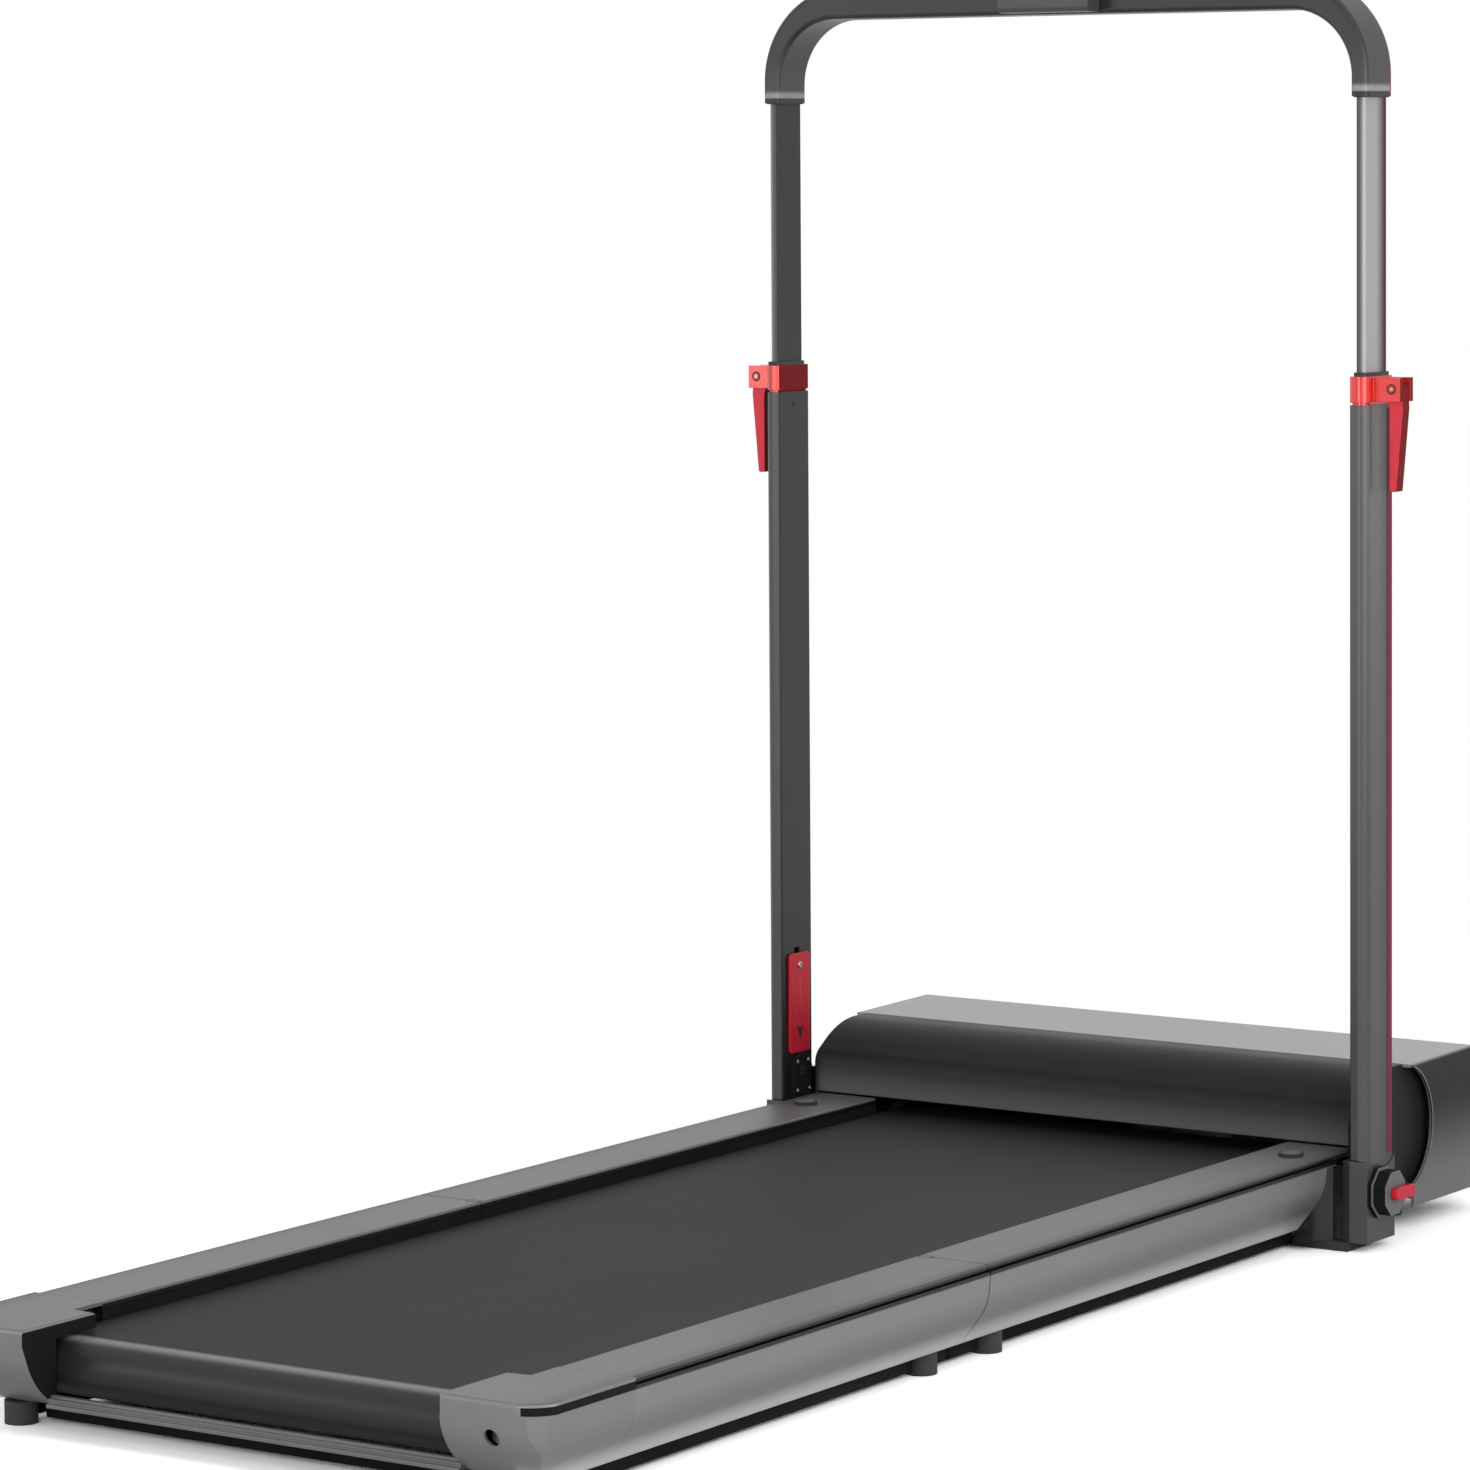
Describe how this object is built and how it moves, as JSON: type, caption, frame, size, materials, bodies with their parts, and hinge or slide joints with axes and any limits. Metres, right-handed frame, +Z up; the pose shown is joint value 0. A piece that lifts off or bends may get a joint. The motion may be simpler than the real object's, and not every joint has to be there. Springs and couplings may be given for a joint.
{
  "type": "walking pad",
  "caption": "Slim folding walking pad: belt deck hinged across its middle, low motor hood and a telescopic handrail that folds down on clamp levers.",
  "frame": {"origin": "centre of the outline on the floor", "axes": "+Y along the deck towards the motor hood, +X to the walker's right, +Z up"},
  "size_m": [0.682, 1.456, 1.12],
  "materials": {
    "space_grey_metal": "satin grey coat",
    "grey_plastic": "fine satin",
    "black_plastic": "fine grain",
    "handle_plastic": "soft satin",
    "belt_rubber": "fine woven grain",
    "black_rubber": "matte",
    "red_anodised": "satin anodised",
    "bare_steel": "machined",
    "black_steel": "matte paint",
    "tube_aluminium": "satin anodised",
    "deck_wood": "waxed board",
    "circuit_board": "coated board"
  },
  "bodies": {
    "base": {"front_rail_left": "space_grey_metal", "front_rail_right": "space_grey_metal", "front_cover_left": "grey_plastic", "front_cover_right": "grey_plastic", "front_guides": "black_plastic", "front_deck_board": "deck_wood", "front_frame": "bare_steel", "belt_front": "belt_rubber", "front_axle": "bare_steel", "motor_body": "black_steel", "drive_belt": "black_rubber", "hood_cover": "grey_plastic", "nose_panel": "black_plastic", "base_pan": "black_steel", "control_board": "circuit_board", "power_inlet": "black_plastic", "switch_frame": "black_plastic", "front_feet": "black_rubber", "fold_bumpers": "black_rubber", "front_hinge_leaves": "bare_steel", "pivot_pins": "bare_steel", "column_gussets": "black_plastic", "column_bracket_left": "black_plastic", "column_bracket_right": "black_plastic"},
    "rear_deck": {"rear_rail_left": "space_grey_metal", "rear_rail_right": "space_grey_metal", "rear_cover_left": "grey_plastic", "rear_cover_right": "grey_plastic", "rear_guides": "black_plastic", "rear_deck_board": "deck_wood", "rear_frame": "bare_steel", "belt_rear": "belt_rubber", "rear_axle": "bare_steel", "rear_feet": "black_rubber", "rear_hinge_leaves": "bare_steel", "tail_guard": "grey_plastic", "tension_bolts": "bare_steel", "tail_cap_left": "grey_plastic", "tail_cap_right": "grey_plastic"},
    "front_roller": {"front_roller": "bare_steel"},
    "rear_roller": {"rear_roller": "bare_steel"},
    "motor_rotor": {"motor_rotor": "bare_steel"},
    "wheel_left": {"wheel_left": "black_rubber"},
    "wheel_right": {"wheel_right": "black_rubber"},
    "power_rocker": {"power_rocker": "black_plastic"},
    "fold_knob": {"fold_knob": "black_plastic", "knob_wing": "red_anodised"},
    "handrail": {"column_left": "space_grey_metal", "column_right": "space_grey_metal", "clamp_collar_left": "red_anodised", "clamp_collar_right": "red_anodised"},
    "clamp_lever_left": {"clamp_lever_left": "red_anodised"},
    "clamp_lever_right": {"clamp_lever_right": "red_anodised"},
    "latch_slider": {"latch_slider": "red_anodised"},
    "handle": {"upper_tube_left": "tube_aluminium", "upper_tube_right": "tube_aluminium", "handle_bend_left": "handle_plastic", "handle_bend_right": "handle_plastic", "handle_bar": "handle_plastic", "console_pod": "grey_plastic"}
  },
  "joints": [
    {"name": "deck_fold", "type": "hinge", "parent": "base", "child": "rear_deck", "pos_m": [0, -0.118, 0.0854], "axis": [-1, 0, 0], "range_deg": [0, 179.6]},
    {"name": "front_roller_spin", "type": "hinge", "parent": "base", "child": "front_roller", "pos_m": [0, 0.556, 0.0484], "axis": [1, 0, 0], "continuous": true},
    {"name": "rear_roller_spin", "type": "hinge", "parent": "rear_deck", "child": "rear_roller", "pos_m": [0, -0.666, 0.0484], "axis": [1, 0, 0], "continuous": true},
    {"name": "motor_spin", "type": "hinge", "parent": "base", "child": "motor_rotor", "pos_m": [-0.2, 0.655, 0.085], "axis": [1, 0, 0], "continuous": true},
    {"name": "wheel_left_spin", "type": "hinge", "parent": "base", "child": "wheel_left", "pos_m": [-0.2, 0.698, 0.014], "axis": [1, 0, 0], "continuous": true},
    {"name": "wheel_right_spin", "type": "hinge", "parent": "base", "child": "wheel_right", "pos_m": [0.2, 0.698, 0.014], "axis": [1, 0, 0], "continuous": true},
    {"name": "power_rock", "type": "hinge", "parent": "base", "child": "power_rocker", "pos_m": [0.177, 0.722, 0.074], "axis": [-1, 0, 0], "range_deg": [0, 14]},
    {"name": "knob_turn", "type": "hinge", "parent": "base", "child": "fold_knob", "pos_m": [0.32, 0.488, 0.052], "axis": [1, 0, 0], "range_deg": [0, 90]},
    {"name": "handrail_fold", "type": "hinge", "parent": "base", "child": "handrail", "pos_m": [0, 0.4919, 0.1065], "axis": [1, 0, 0], "range_deg": [0, 88]},
    {"name": "clamp_left_open", "type": "hinge", "parent": "handrail", "child": "clamp_lever_left", "pos_m": [-0.3325, 0.4919, 0.759], "axis": [0, 1, 0], "range_deg": [0, 110]},
    {"name": "clamp_right_open", "type": "hinge", "parent": "handrail", "child": "clamp_lever_right", "pos_m": [0.3325, 0.4919, 0.759], "axis": [0, -1, 0], "range_deg": [0, 110]},
    {"name": "latch_lift", "type": "slide", "parent": "handrail", "child": "latch_slider", "axis": [0, 0, 1], "range_m": [0, 0.014], "stiffness_N_per_m": 300, "springref_m": -0.004},
    {"name": "handle_slide", "type": "slide", "parent": "handrail", "child": "handle", "axis": [0, 0, 1], "range_m": [-0.23, 0]}
  ],
  "couplings": [
    {"joint": "rear_roller_spin", "follows": "front_roller_spin", "ratio": 1},
    {"joint": "motor_spin", "follows": "front_roller_spin", "ratio": 1.6923}
  ]
}
